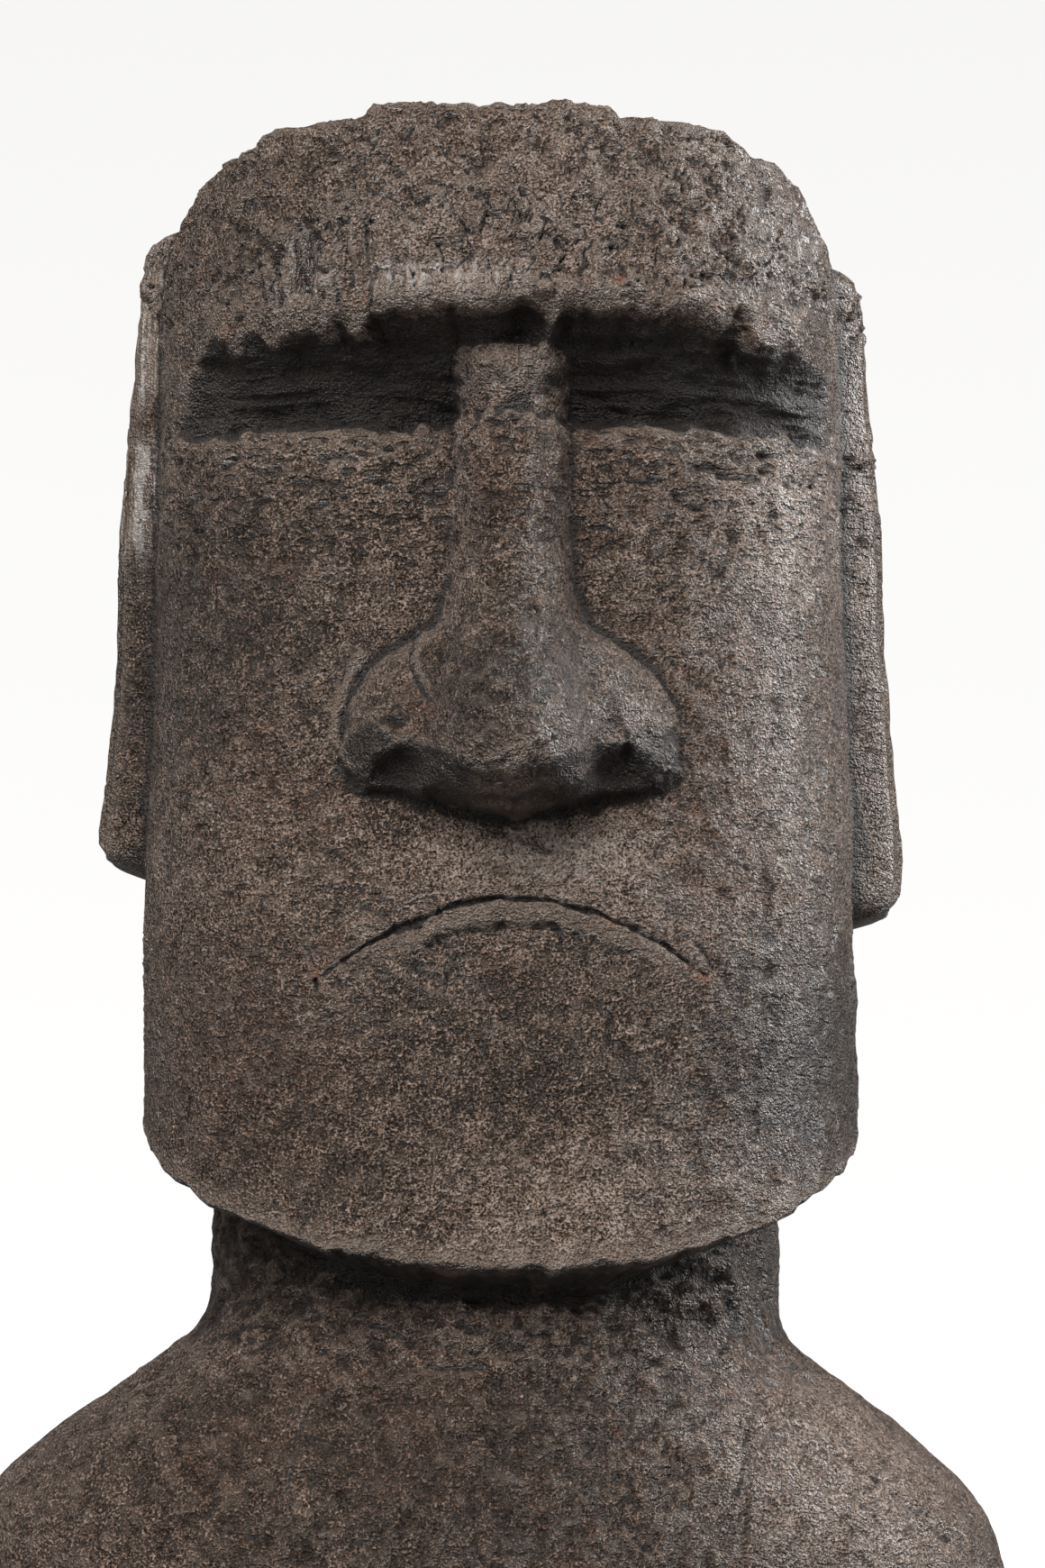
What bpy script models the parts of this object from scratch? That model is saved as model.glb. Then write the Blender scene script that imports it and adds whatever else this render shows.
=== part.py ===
"""A moai bust: a long stone head with slab ears, a heavy brow, a flared nose and an arched mouth,
on a neck and sloping shoulders cut flat below. It is one casting and so one closed body.

The skin is a stack of rings round an upright axis. A ring is a superellipse of the head, of the
neck and shoulders, or of both where the jaw overhangs the neck, and the carving is laid on it.
The face looks towards -Y. X is positive on the right of someone facing the bust.

Every length except the height of the bust is a share of that height, heights being measured from
the flat underside. Angles run round the axis in degrees: 0 at the face, 90 at an ear, 180 behind.
"""

import bmesh
import bpy
import numpy as np

BUST_HEIGHT = 0.80

# The skin before it is thinned out to flat facets, and the facets that are kept.
COLUMNS = 260
ROWS = 300
CROWN_RINGS = 12
FACETS = 9300

# Head, as (height, size): half width, depth in front of the axis and behind it, squareness of the ring.
RIM = 0.984
HEAD_HALF_WIDTH = (
    (0.24, 0.221), (0.35, 0.2255), (0.50, 0.2255), (0.70, 0.2215), (0.86, 0.2205), (0.93, 0.2165), (RIM, 0.205),
)
HEAD_FRONT = (
    (0.24, 0.182), (0.27, 0.1885), (0.31, 0.1845), (0.37, 0.1765), (0.45, 0.1755), (0.50, 0.1745),
    (0.54, 0.1680), (0.60, 0.1610), (0.70, 0.1570), (0.78, 0.1660), (0.83, 0.1900), (0.866, 0.2050),
    (0.90, 0.2035), (RIM, 0.1890),
)
HEAD_BACK = ((0.24, 0.188), (0.34, 0.194), (0.50, 0.205), (0.70, 0.210), (0.86, 0.207), (RIM, 0.192))
HEAD_SQUARENESS = ((0.24, 3.2), (0.45, 3.1), (0.78, 3.0), (0.86, 2.5), (RIM, 2.5))

# Hollows of the eyes, as (height, depth), deepest just above the cheeks. The brow stands out over them
# a little, and the temples stay full at their ends.
EYE_HOLLOW = (
    (0.62, 0.0), (0.70, 0.003), (0.775, 0.0125), (0.786, 0.0185), (0.794, 0.0370), (0.800, 0.0375),
    (0.812, 0.0325), (0.832, 0.0195), (0.850, 0.0035), (0.858, -0.0027), (0.870, -0.0020), (0.90, 0.0),
)
EYE_X = 0.0095
EYE_HALF_WIDTH = ((0.80, 0.204), (0.86, 0.182))
EYE_END = 0.022

# Neck and shoulders, in the same way, and how far they stand to the left. The rings reach a little
# below the underside, which is cut flat.
UNDERCUT = 0.02
TORSO_HALF_WIDTH = (
    (-UNDERCUT, 0.338), (0.06, 0.337), (0.0875, 0.3330), (0.104, 0.329), (0.126, 0.3180), (0.148, 0.2980),
    (0.170, 0.2720), (0.1925, 0.2415), (0.2145, 0.2105), (0.236, 0.1870), (0.256, 0.1810), (0.36, 0.1795),
)
TORSO_FRONT = ((-UNDERCUT, 0.180), (0.08, 0.178), (0.15, 0.166), (0.21, 0.153), (0.27, 0.146), (0.36, 0.142))
TORSO_BACK = ((-UNDERCUT, 0.196), (0.10, 0.202), (0.18, 0.199), (0.26, 0.187), (0.36, 0.184))
TORSO_SQUARENESS = ((-UNDERCUT, 2.5), (0.12, 2.35), (0.22, 2.2), (0.30, 2.3))
TORSO_SHIFT = ((0.17, 0.014), (0.21, 0.012), (0.26, 0.0025), (0.36, 0.0))

# Lower edge of the head, as (angle, height), the height of its step to the neck, and how much lower it
# hangs on the right than at the face.
JAW_LINE = (
    (0, 0.2605), (25, 0.2680), (42, 0.286), (58, 0.314), (74, 0.340), (90, 0.348), (120, 0.345), (180, 0.33),
)
JAW_STEP = ((0, 0.018), (60, 0.020), (95, 0.032), (130, 0.09), (180, 0.20))
JAW_TILT = 0.004

# Rim of the crown, as (angle, height), right and left of the face. The crown rises to the full height
# inside it, round a point a little behind the axis.
RIM_RIGHT = (
    (0, RIM), (20, 0.983), (23, 0.974), (40, 0.974), (46, 0.967), (49, 0.959), (60, 0.958), (73, 0.948),
    (90, 0.940), (115, 0.955), (145, 0.974), (180, 0.980),
)
RIM_LEFT = (
    (0, RIM), (23, 0.983), (26, 0.976), (36, 0.977), (46, 0.970), (58, 0.960), (70, 0.950), (90, 0.942),
    (115, 0.955), (145, 0.974), (180, 0.980),
)
RIM_BENDS_FROM = 0.88
CROWN_BACK = 0.004

# Nose, a little right of the axis: a ridge that ends in a ball, and wings that flare beside it.
NOSE_X = 0.0075
RIDGE_OUT = (
    (0.535, 0.080), (0.580, 0.086), (0.605, 0.079), (0.650, 0.054), (0.700, 0.041), (0.75, 0.036),
    (0.784, 0.036), (0.794, 0.047), (0.812, 0.034), (0.832, 0.011), (0.846, 0.0),
)
RIDGE_HALF_WIDTH = (
    (0.535, 0.058), (0.57, 0.061), (0.60, 0.058), (0.64, 0.046), (0.68, 0.040), (0.76, 0.037), (0.84, 0.036),
)
WINGS_OUT = ((0.54, 0.047), (0.60, 0.045), (0.63, 0.037), (0.66, 0.027), (0.68, 0.016), (0.70, 0.0))
WINGS_HALF_WIDTH = (
    (0.545, 0.080), (0.5575, 0.090), (0.5625, 0.0965), (0.576, 0.1025), (0.598, 0.1027), (0.609, 0.1005),
    (0.6255, 0.0935), (0.642, 0.079), (0.653, 0.062), (0.662, 0.048), (0.70, 0.038),
)
NOSE_BOTTOM = ((0.0, 0.5410), (0.030, 0.5470), (0.060, 0.5560), (0.11, 0.5600))
NOSE_BOTTOM_ROUND = 0.040
NOSTRIL_X = 0.052
NOSTRIL_HEIGHT = 0.566
NOSTRIL_HALF_WIDTH = 0.028
NOSTRIL_HALF_HEIGHT = 0.020
NOSTRIL_DEPTH = 0.022

# Mouth: a groove that arches up in the middle, with a lip below it and a swell above it.
MOUTH_X = 0.0105
MOUTH_HALF_WIDTH = 0.117
MOUTH_TOP = 0.4925
MOUTH_FALL = 0.047
GROOVE_DEPTH = 0.0065
GROOVE_REACH = 0.0068
LIP_OUT = 0.0045
LIP_DROP = 0.0105
LIP_REACH = 0.013
SWELL_OUT = 0.007
SWELL_RISE = 0.018
SWELL_REACH = 0.048

# Ears: long slabs on the sides of the head, with a raised edge round a sunken middle.
EAR_EDGE_X = (
    (0.48, 0.2585), (0.5375, 0.2625), (0.596, 0.2570), (0.706, 0.2510), (0.825, 0.2440), (0.925, 0.2335),
    (0.96, 0.2230),
)
EAR_FRONT = -0.044
EAR_BACK = ((0.50, 0.048), (0.62, 0.050), (0.80, 0.066), (0.95, 0.070))
RIGHT_EAR_TOP = 0.922
RIGHT_EAR_BOTTOM = 0.488
LEFT_EAR_TOP = 0.949
LEFT_EAR_BOTTOM = 0.521
EAR_ROUND = 0.022
EAR_STEP = 0.005
EAR_STEP_SHARE = 0.72
EAR_CHAMFER = 0.016
EAR_RIM = 0.020
EAR_HOLLOW = 0.011
EAR_HOLLOW_SLOPE = 0.018

# Slow unevenness of the hand-carved surface.
LUMP_SIZE = 0.062
LUMP_HEIGHT = 0.0022
LUMP_SEED = 7

STONE_COLOUR = (0.062, 0.046, 0.038, 1.0)
STONE_ROUGHNESS = 0.55


def clear_scene():
    for scene_object in list(bpy.data.objects):
        bpy.data.objects.remove(scene_object, do_unlink=True)


def smooth_curve(stations, at):
    """Values at some places of a curve through (place, value) stations, with no overshoot between them."""
    places, values = np.array(stations, float).T
    slopes = np.diff(values) / np.diff(places)
    before = slopes[:-1]
    after = slopes[1:]
    same_way = before * after > 0
    both = np.where(same_way, before + after, 1.0)
    inner = np.where(same_way, 2 * before * after / both, 0.0)
    tangents = np.concatenate([[slopes[0]], inner, [slopes[-1]]])
    at = np.clip(at, places[0], places[-1])
    left = np.clip(np.searchsorted(places, at, side="right") - 1, 0, len(places) - 2)
    width = places[left + 1] - places[left]
    share = (at - places[left]) / width
    start = (1 + 2 * share) * (1 - share) ** 2
    return (
        start * values[left]
        + (1 - start) * values[left + 1]
        + share * (1 - share) ** 2 * width * tangents[left]
        - share**2 * (1 - share) * width * tangents[left + 1]
    )


def ease(share):
    """A smooth step from 0 to 1 while the share goes from 0 to 1."""
    share = np.clip(share, 0.0, 1.0)
    return share * share * (3 - 2 * share)


def bump(distance):
    """A smooth swelling, 1 at distance 0 and gone at distance 1 and beyond."""
    return np.clip(1 - distance * distance, 0.0, None) ** 2


def dome(share, fullness, edge):
    """A rounded section, 1 in the middle and 0 at share 1. A small edge power makes its sides steep."""
    return np.clip(1 - share**fullness, 0.0, None) ** edge


def crowded(count, low, high, crowds):
    """Places from low to high that stand closer together round each (place, reach, crowding)."""
    fine = np.linspace(low, high, 4000)
    density = np.ones_like(fine)
    for place, reach, crowding in crowds:
        density += crowding * np.exp(-(((fine - place) / reach) ** 2))
    passed = np.concatenate([[0.0], np.cumsum((density[1:] + density[:-1]) / 2)])
    return np.interp(np.linspace(0.0, passed[-1], count), passed, fine)


def lumps(points):
    """Smooth random values from -1 to 1, one lattice cell to each lump."""
    cells = 32
    table = np.random.default_rng(LUMP_SEED).uniform(-1.0, 1.0, (cells, cells, cells))
    place = points / LUMP_SIZE
    corner = np.floor(place).astype(int)
    share = ease(place - corner)
    total = np.zeros(points.shape[:-1])
    for step in np.ndindex(2, 2, 2):
        weight = np.prod(np.where(np.array(step), share, 1 - share), axis=-1)
        index = (corner + step) % cells
        total += weight * table[index[..., 0], index[..., 1], index[..., 2]]
    return total


def ring_radius(angle, half_width, front, back, squareness):
    """Distance from the axis to a superellipse ring."""
    forward = np.cos(angle)
    across = np.abs(np.sin(angle)) / half_width
    along = np.abs(forward) / np.where(forward > 0, front, back)
    return (across**squareness + along**squareness) ** (-1 / squareness)


def head_radius(angle, height):
    """Distance from the axis to the head, with the eye hollows between full temples."""
    half_width = smooth_curve(HEAD_HALF_WIDTH, height)
    front = smooth_curve(HEAD_FRONT, height)
    back = smooth_curve(HEAD_BACK, height)
    squareness = smooth_curve(HEAD_SQUARENESS, height)
    full = ring_radius(angle, half_width, front, back, squareness)
    hollowed = ring_radius(angle, half_width, front - smooth_curve(EYE_HOLLOW, height), back, squareness)
    side = np.abs(full * np.sin(angle) - EYE_X)
    temple = ease((side - smooth_curve(EYE_HALF_WIDTH, height)) / EYE_END)
    return hollowed + (full - hollowed) * temple


def torso_radius(angle, height):
    return ring_radius(
        angle,
        smooth_curve(TORSO_HALF_WIDTH, height),
        smooth_curve(TORSO_FRONT, height),
        smooth_curve(TORSO_BACK, height),
        smooth_curve(TORSO_SQUARENESS, height),
    )


def jaw_height(angle):
    return smooth_curve(JAW_LINE, np.degrees(np.abs(angle))) - JAW_TILT * np.sin(angle)


def mouth_height(x):
    """Height of the mouth's groove, which falls away on both sides of its middle."""
    return MOUTH_TOP - MOUTH_FALL * np.abs((x - MOUTH_X) / MOUTH_HALF_WIDTH) ** 1.9


def nose_out(x, height):
    """How far the nose stands out of the face."""
    side = np.abs(x - NOSE_X)
    ridge = smooth_curve(RIDGE_OUT, height) * dome(side / smooth_curve(RIDGE_HALF_WIDTH, height), 2.8, 0.9)
    wings = smooth_curve(WINGS_OUT, height) * dome(side / smooth_curve(WINGS_HALF_WIDTH, height), 3.5, 0.6)
    both = np.cbrt(ridge**3 + wings**3)
    low = np.clip((height - smooth_curve(NOSE_BOTTOM, side)) / NOSE_BOTTOM_ROUND, 0.0, 1.0)
    nostril = bump(
        np.hypot((side - NOSTRIL_X) / NOSTRIL_HALF_WIDTH, (height - NOSTRIL_HEIGHT) / NOSTRIL_HALF_HEIGHT)
    )
    return np.clip(both * np.sqrt(1 - (1 - low) ** 2) - NOSTRIL_DEPTH * nostril, 0.0, None)


def mouth_out(x, height):
    """How far the lips stand out, less the groove between them."""
    along = np.abs(x - MOUTH_X) / MOUTH_HALF_WIDTH
    above = height - mouth_height(x)
    groove = GROOVE_DEPTH * bump(above / GROOVE_REACH)
    lip = LIP_OUT * bump((above + LIP_DROP) / LIP_REACH) * bump(along / 1.1)
    swell = SWELL_OUT * bump((above - SWELL_RISE) / SWELL_REACH) * bump(along / 1.35)
    return (lip - groove) * ease((1.08 - along) / 0.22) + swell


def ear_out(x, y, height):
    """How far the skin moves out sideways to make the ear."""
    from_side = np.minimum(y - EAR_FRONT, smooth_curve(EAR_BACK, height) - y)
    from_end = np.minimum(
        height - np.where(x > 0, RIGHT_EAR_BOTTOM, LEFT_EAR_BOTTOM),
        np.where(x > 0, RIGHT_EAR_TOP, LEFT_EAR_TOP) - height,
    )
    corner = np.hypot(np.clip(EAR_ROUND - from_side, 0.0, None), np.clip(EAR_ROUND - from_end, 0.0, None))
    inside = np.where(corner > 0, EAR_ROUND - corner, np.minimum(from_side, from_end))
    step = ease(inside / EAR_STEP)
    chamfer = ease((inside - EAR_STEP) / EAR_CHAMFER)
    hollow = EAR_HOLLOW * ease((inside - EAR_RIM) / EAR_HOLLOW_SLOPE)
    reach = smooth_curve(EAR_EDGE_X, height) - np.abs(x)
    return (EAR_STEP_SHARE * step + (1 - EAR_STEP_SHARE) * chamfer) * reach - hollow


def follow_carving(angle, height):
    """Heights bent so that a row of points runs along the jaw, the mouth and the underside of the nose."""
    jaw_row = 0.30
    nose_row = 0.552
    across = 0.2 * np.sin(angle)
    forward = ease(np.cos(angle) * 3)
    jaw = jaw_height(angle) - jaw_row
    mouth = np.clip(mouth_height(across) - MOUTH_TOP, -MOUTH_FALL, 0.0)
    nose = smooth_curve(NOSE_BOTTOM, np.abs(across - NOSE_X)) - nose_row
    return (
        height
        + jaw * bump((height - jaw_row) / 0.14)
        + mouth * forward * bump((height - MOUTH_TOP) / 0.10)
        + nose * forward * bump((height - nose_row) / 0.04)
    )


def bend_to_rim(angle, height):
    """Heights near the crown moved so that the top row runs along the uneven rim."""
    degrees = np.degrees(np.abs(angle))
    rim = np.where(angle > 0, smooth_curve(RIM_RIGHT, degrees), smooth_curve(RIM_LEFT, degrees))
    rise = np.clip((height - RIM_BENDS_FROM) / (RIM - RIM_BENDS_FROM), 0.0, None)
    return height + (rim - RIM) * rise


def skin(angle, height):
    """Points of the skin towards some angles at some heights."""
    height = follow_carving(angle, height)
    torso = torso_radius(angle, height)
    step = smooth_curve(JAW_STEP, np.degrees(np.abs(angle)))
    is_head = ease((height - jaw_height(angle)) / step + 0.5)
    radius = torso + (head_radius(angle, height) - torso) * is_head
    x = radius * np.sin(angle)
    y = -radius * np.cos(angle)
    final_height = bend_to_rim(angle, height)
    in_front = ease(np.cos(angle) * 4)
    forward = (nose_out(x, height) + mouth_out(x, height)) * in_front * is_head
    sideways = np.sign(x) * ear_out(x, y, final_height) * is_head
    shift = smooth_curve(TORSO_SHIFT, height) * (1 - is_head)
    points = np.stack([x + sideways - shift, y - forward, final_height], axis=-1)
    outward = np.stack([np.sin(angle), -np.cos(angle), np.zeros_like(angle)], axis=-1)
    return points + outward * LUMP_HEIGHT * lumps(points)[..., None]


def skin_rows():
    """Rings of points from below the underside to the rim, then inwards over the crown."""
    angles = crowded(
        COLUMNS + 1, -180, 180, ((0, 55, 2.4), (-34, 6, 2.5), (34, 6, 2.5), (-92, 17, 2.6), (92, 17, 2.6))
    )
    heights = crowded(
        ROWS,
        -UNDERCUT,
        RIM,
        (
            (0.27, 0.03, 1.5), (0.49, 0.03, 2.0), (0.555, 0.02, 5.0), (0.64, 0.06, 1.0), (0.83, 0.05, 2.5),
            (0.97, 0.02, 2.0),
        ),
    )
    angle, height = np.meshgrid(np.radians(angles[:-1]), heights)
    rows = list(skin(angle, height))
    rim = rows[-1]
    middle = np.array([0.0, CROWN_BACK, 0.0])
    for inward in np.linspace(1.0, 0.0, CROWN_RINGS + 1)[1:-1]:
        ring = middle + (rim - middle) * inward
        ring[:, 2] = rim[:, 2] + (1.0 - LUMP_HEIGHT - rim[:, 2]) * (1 - inward**3)
        ring[:, 2] += LUMP_HEIGHT * lumps(ring)
        rows.append(ring)
    return rows


def build_skin(name):
    """A closed mesh through the rings, at full size, with a fan of facets at each end."""
    mesh = bmesh.new()
    rings = [[mesh.verts.new(point) for point in row * BUST_HEIGHT] for row in skin_rows()]
    for lower, upper in zip(rings, rings[1:]):
        for index in range(COLUMNS):
            after = (index + 1) % COLUMNS
            mesh.faces.new((lower[index], lower[after], upper[after], upper[index]))
    for ring, turn in ((rings[0], -1), (rings[-1], 1)):
        middle = mesh.verts.new(np.mean([vertex.co for vertex in ring], axis=0))
        for index in range(COLUMNS):
            mesh.faces.new((ring[index], ring[(index + 1) % COLUMNS], middle)[::turn])
    data = bpy.data.meshes.new(name)
    mesh.to_mesh(data)
    mesh.free()
    body = bpy.data.objects.new(name, data)
    bpy.context.collection.objects.link(body)
    return body


def thin_out(body):
    """Flat facets, small where the carving is and large where the surface is plain."""
    body.data.calc_loop_triangles()
    thinning = body.modifiers.new("Thin out", "DECIMATE")
    thinning.ratio = FACETS / len(body.data.loop_triangles)
    thinning.use_collapse_triangulate = True


def cut_underside(body):
    """The flat underside, at height 0."""
    bpy.ops.mesh.primitive_cube_add(size=BUST_HEIGHT, location=(0.0, 0.0, -BUST_HEIGHT / 2))
    cutter = bpy.context.object
    cutter.name = "underside_cutter"
    cutter.hide_render = True
    cutter.display_type = "WIRE"
    cut = body.modifiers.new("Cut flat", "BOOLEAN")
    cut.operation = "DIFFERENCE"
    cut.solver = "EXACT"
    cut.object = cutter


def stone():
    material = bpy.data.materials.new("dark_stone")
    material.use_nodes = True
    shader = material.node_tree.nodes["Principled BSDF"]
    shader.inputs["Base Color"].default_value = STONE_COLOUR
    shader.inputs["Roughness"].default_value = STONE_ROUGHNESS
    shader.inputs["Metallic"].default_value = 0.0
    return material


clear_scene()
bust = build_skin("moai_bust")
bust.data.materials.append(stone())
thin_out(bust)
cut_underside(bust)
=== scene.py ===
"""The moai bust in detail: the carved form of its solid with the relief that a closer look shows, a dark
stone-effect material, a plain pale floor and soft studio light.

The form repeats the solid's: rings round an upright axis, with lengths as shares of the bust's height
and angles in degrees from the face. The relief laid on the form is in metres. The face looks towards
-Y, and X is positive on the right of someone facing the bust.
"""
import math

import bpy
import numpy as np
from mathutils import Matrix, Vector


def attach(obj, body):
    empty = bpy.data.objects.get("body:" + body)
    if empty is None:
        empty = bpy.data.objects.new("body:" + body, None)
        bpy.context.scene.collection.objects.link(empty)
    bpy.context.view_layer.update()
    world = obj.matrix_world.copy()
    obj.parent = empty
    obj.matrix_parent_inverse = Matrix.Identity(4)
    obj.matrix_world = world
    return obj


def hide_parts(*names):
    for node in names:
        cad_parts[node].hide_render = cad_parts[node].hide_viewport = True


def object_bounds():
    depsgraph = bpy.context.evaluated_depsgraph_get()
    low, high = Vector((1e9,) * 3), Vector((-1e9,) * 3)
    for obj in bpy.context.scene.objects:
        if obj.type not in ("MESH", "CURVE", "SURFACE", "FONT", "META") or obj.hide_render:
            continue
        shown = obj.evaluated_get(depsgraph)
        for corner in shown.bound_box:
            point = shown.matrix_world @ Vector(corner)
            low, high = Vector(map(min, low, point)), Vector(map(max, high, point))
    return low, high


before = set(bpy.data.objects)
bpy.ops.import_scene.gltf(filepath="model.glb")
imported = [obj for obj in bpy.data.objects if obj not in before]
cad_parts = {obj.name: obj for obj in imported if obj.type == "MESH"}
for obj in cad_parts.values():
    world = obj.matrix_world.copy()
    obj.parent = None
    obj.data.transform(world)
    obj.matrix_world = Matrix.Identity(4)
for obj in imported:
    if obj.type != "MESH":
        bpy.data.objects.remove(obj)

cad_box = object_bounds()

BUST_HEIGHT = 0.80

# The skin before it is thinned out, and the triangles that are kept.
COLUMNS = 660
ROWS = 540
CROWN_RINGS = 46
TRIANGLES = 197000

# Head, as (height, size): half width, depth in front of the axis and behind it, squareness of the ring.
RIM = 0.984
HEAD_HALF_WIDTH = (
    (0.24, 0.221), (0.35, 0.2255), (0.50, 0.2255), (0.70, 0.2215), (0.86, 0.2205), (0.93, 0.2165),
    (RIM, 0.205),
)
HEAD_FRONT = (
    (0.24, 0.182), (0.27, 0.1885), (0.31, 0.1845), (0.37, 0.1765), (0.45, 0.1755), (0.50, 0.1745),
    (0.54, 0.1680), (0.60, 0.1610), (0.70, 0.1570), (0.78, 0.1660), (0.83, 0.1900), (0.866, 0.2050),
    (0.90, 0.2035), (RIM, 0.1890),
)
HEAD_BACK = ((0.24, 0.188), (0.34, 0.194), (0.50, 0.205), (0.70, 0.210), (0.86, 0.207), (RIM, 0.192))
HEAD_SQUARENESS = ((0.24, 3.2), (0.45, 3.1), (0.78, 3.0), (0.86, 2.5), (RIM, 2.5))

# Hollows of the eyes, as (height, depth), between temples that stay full.
EYE_HOLLOW = (
    (0.62, 0.0), (0.70, 0.003), (0.775, 0.0125), (0.786, 0.0185), (0.794, 0.0370), (0.800, 0.0375),
    (0.812, 0.0335), (0.836, 0.0235), (0.848, 0.0070), (0.853, -0.0030), (0.862, -0.0040), (0.880, -0.0010),
    (0.90, 0.0),
)
EYE_X = 0.0095
EYE_HALF_WIDTH = ((0.80, 0.204), (0.86, 0.182))
EYE_END = 0.017
EYE_MASK = (0.7865, 0.8500)

# Neck and shoulders, in the same way, and how far they stand to the left.
TORSO_HALF_WIDTH = (
    (0.0, 0.3375), (0.06, 0.337), (0.0875, 0.3330), (0.104, 0.329), (0.126, 0.3180), (0.148, 0.2980),
    (0.170, 0.2720), (0.1925, 0.2415), (0.2145, 0.2105), (0.236, 0.1870), (0.256, 0.1810), (0.36, 0.1795),
)
TORSO_FRONT = ((0.0, 0.1795), (0.08, 0.178), (0.15, 0.166), (0.21, 0.153), (0.27, 0.146), (0.36, 0.142))
TORSO_BACK = ((0.0, 0.197), (0.10, 0.202), (0.18, 0.199), (0.26, 0.187), (0.36, 0.184))
TORSO_SQUARENESS = ((0.0, 2.48), (0.12, 2.35), (0.22, 2.2), (0.30, 2.3))
TORSO_SHIFT = ((0.17, 0.014), (0.21, 0.012), (0.26, 0.0025), (0.36, 0.0))

# Lower edge of the head, as (angle, height), the height of its step to the neck, and its tilt.
JAW_LINE = (
    (0, 0.2605), (25, 0.2680), (42, 0.286), (58, 0.314), (74, 0.340), (90, 0.348), (120, 0.345), (180, 0.33),
)
JAW_STEP = ((0, 0.018), (60, 0.020), (95, 0.032), (130, 0.09), (180, 0.20))
JAW_TILT = 0.004

# Rim of the crown, as (angle, height), right and left of the face.
RIM_RIGHT = (
    (0, RIM), (20, 0.983), (23, 0.974), (40, 0.974), (46, 0.967), (49, 0.959), (60, 0.958), (73, 0.948),
    (90, 0.940), (115, 0.955), (145, 0.974), (180, 0.980),
)
RIM_LEFT = (
    (0, RIM), (23, 0.983), (26, 0.976), (36, 0.977), (46, 0.970), (58, 0.960), (70, 0.950), (90, 0.942),
    (115, 0.955), (145, 0.974), (180, 0.980),
)
RIM_BENDS_FROM = 0.88
CROWN_BACK = 0.004

# Nose: a ridge that ends in a ball, and wings that flare beside it.
NOSE_X = 0.0075
RIDGE_OUT = (
    (0.535, 0.080), (0.580, 0.086), (0.605, 0.079), (0.650, 0.054), (0.700, 0.041), (0.75, 0.036),
    (0.784, 0.036), (0.794, 0.047), (0.812, 0.040), (0.826, 0.030), (0.837, 0.006), (0.842, 0.0),
)
RIDGE_HALF_WIDTH = (
    (0.535, 0.058), (0.57, 0.061), (0.60, 0.058), (0.64, 0.046), (0.68, 0.040), (0.76, 0.037), (0.84, 0.036),
)
WINGS_OUT = ((0.54, 0.047), (0.60, 0.045), (0.63, 0.037), (0.66, 0.027), (0.68, 0.016), (0.70, 0.0))
WINGS_HALF_WIDTH = (
    (0.545, 0.080), (0.5575, 0.090), (0.5625, 0.0965), (0.576, 0.1025), (0.598, 0.1027), (0.609, 0.1005),
    (0.6255, 0.0935), (0.642, 0.079), (0.653, 0.062), (0.662, 0.048), (0.70, 0.038),
)
NOSE_BOTTOM = ((0.0, 0.5410), (0.030, 0.5470), (0.060, 0.5560), (0.11, 0.5600))
NOSE_BOTTOM_ROUND = 0.046
NOSTRIL_X = 0.065
NOSTRIL_HEIGHT = 0.571
NOSTRIL_HALF_WIDTH = 0.027
NOSTRIL_HALF_HEIGHT = 0.0145
NOSTRIL_DEPTH = 0.014

# Mouth: a thin groove that arches up in the middle, a lip below it and a swell above it.
MOUTH_X = 0.0105
MOUTH_HALF_WIDTH = 0.117
MOUTH_TOP = 0.4925
MOUTH_FALL = 0.047
GROOVE_DEPTH = 0.0042
GROOVE_REACH = 0.0022
LIP_OUT = 0.0032
LIP_HEIGHT = 0.0135
LIP_EDGE = 0.0040
SWELL_OUT = 0.007
SWELL_RISE = 0.018
SWELL_REACH = 0.048

# Ears: long slabs on the sides of the head, with a raised edge round a sunken middle.
EAR_EDGE_X = (
    (0.48, 0.2585), (0.5375, 0.2625), (0.596, 0.2570), (0.706, 0.2510), (0.825, 0.2440), (0.925, 0.2335),
    (0.96, 0.2230),
)
EAR_FRONT = -0.044
EAR_BACK = ((0.50, 0.048), (0.62, 0.050), (0.80, 0.066), (0.95, 0.070))
RIGHT_EAR_TOP = 0.922
RIGHT_EAR_BOTTOM = 0.488
LEFT_EAR_TOP = 0.949
LEFT_EAR_BOTTOM = 0.521
EAR_ROUND = 0.022
EAR_STEP = 0.013
EAR_STEP_SHARE = 0.72
EAR_CHAMFER = 0.016
EAR_RIM = 0.020
EAR_HOLLOW = 0.011
EAR_HOLLOW_SLOPE = 0.018

LUMP_SIZE = 0.062
LUMP_HEIGHT = 0.0022
LUMP_SEED = 7

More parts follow.
